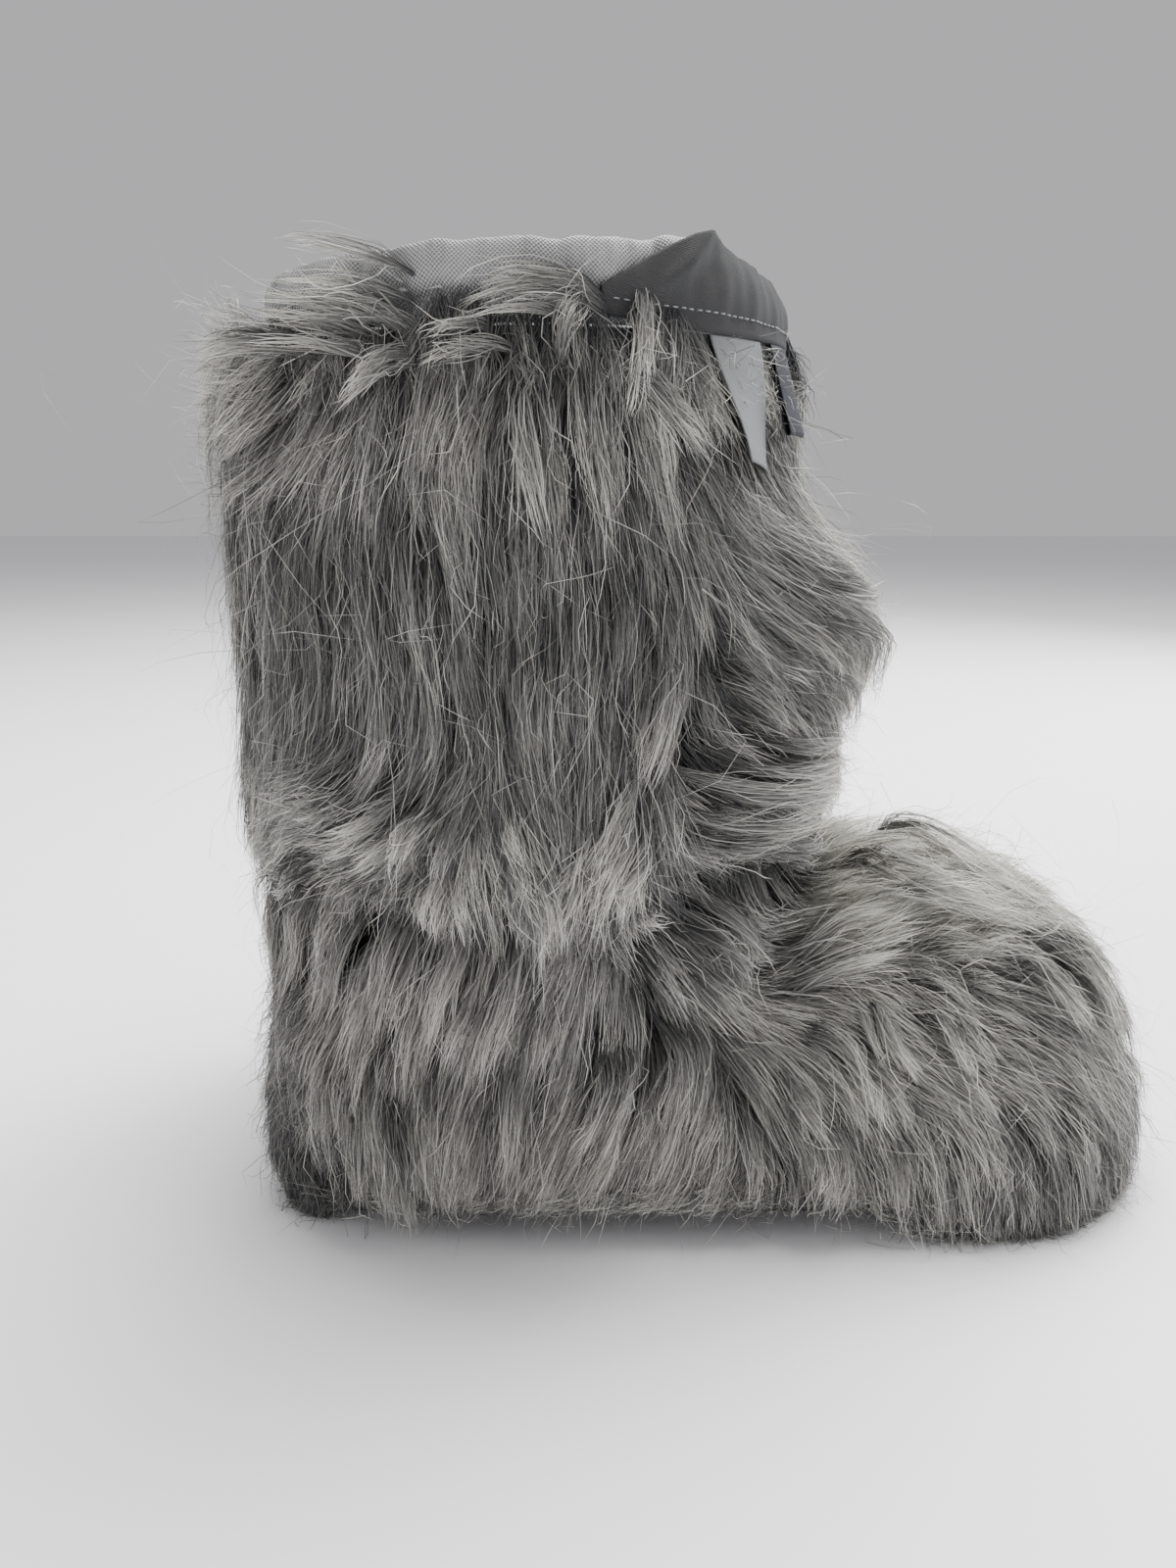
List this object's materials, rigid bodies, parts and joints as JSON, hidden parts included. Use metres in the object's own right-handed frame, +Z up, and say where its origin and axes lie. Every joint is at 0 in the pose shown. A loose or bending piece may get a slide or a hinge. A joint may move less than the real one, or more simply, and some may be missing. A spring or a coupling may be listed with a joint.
{
  "type": "furry windscreen cover",
  "caption": "Boot-shaped long-pile faux-fur windscreen cover, hollow and open at the top, with a gathered woven cuff and small fabric tabs hanging at its front.",
  "frame": {"origin": "foot of the shaft's axis, on the surface that the sole rests on", "axes": "+Z up along the shaft's axis, out of the mouth; +X towards the toe"},
  "size_m": [0.335, 0.224, 0.306],
  "materials": {
    "fur": "long grey-green pile with pale tips",
    "woven_nylon": "plain woven, slight sheen",
    "lining": "fine knit",
    "foam": "open-cell foam",
    "binding": "woven tape",
    "sole_fabric": "coated weave",
    "elastic": "braided elastic",
    "thread": "polyester thread",
    "label_satin": "satin ribbon",
    "dark_ribbon": "woven ribbon"
  },
  "bodies": {
    "cover": {"fur_shaft_left": "fur", "fur_shaft_right": "fur", "fur_quarter_left": "fur", "fur_quarter_right": "fur", "fur_heel": "fur", "fur_vamp": "fur", "fur_toe": "fur", "sole_panel": "sole_fabric", "sole_binding": "binding", "insole_foam": "foam", "foot_foam_left": "foam", "foot_foam_right": "foam", "toe_foam": "foam", "shaft_foam_left": "foam", "shaft_foam_right": "foam", "foot_lining": "lining", "shaft_lining": "lining", "ankle_tape": "binding", "heel_tape": "binding", "vamp_tape": "binding", "toe_tape": "binding", "shaft_front_tape": "binding", "shaft_back_tape": "binding", "cuff_band": "woven_nylon", "cuff_elastic": "elastic", "cuff_front_lap": "woven_nylon", "cuff_binding": "binding", "casing_stitch": "thread", "hem_stitch": "thread", "tab_stitches": "thread"},
    "label": {"pale_label": "label_satin"},
    "tab": {"dark_tab": "dark_ribbon"}
  },
  "joints": [
    {"name": "pale_label_swing", "type": "hinge", "parent": "cover", "child": "label", "pos_m": [0.06332, -0.05701, 0.2813], "axis": [-0.6691, -0.7431, 0], "range_deg": [0, 90]},
    {"name": "dark_tab_swing", "type": "hinge", "parent": "cover", "child": "tab", "pos_m": [0.07843, -0.03329, 0.2813], "axis": [-0.3907, -0.9205, 0], "range_deg": [0, 90]}
  ]
}
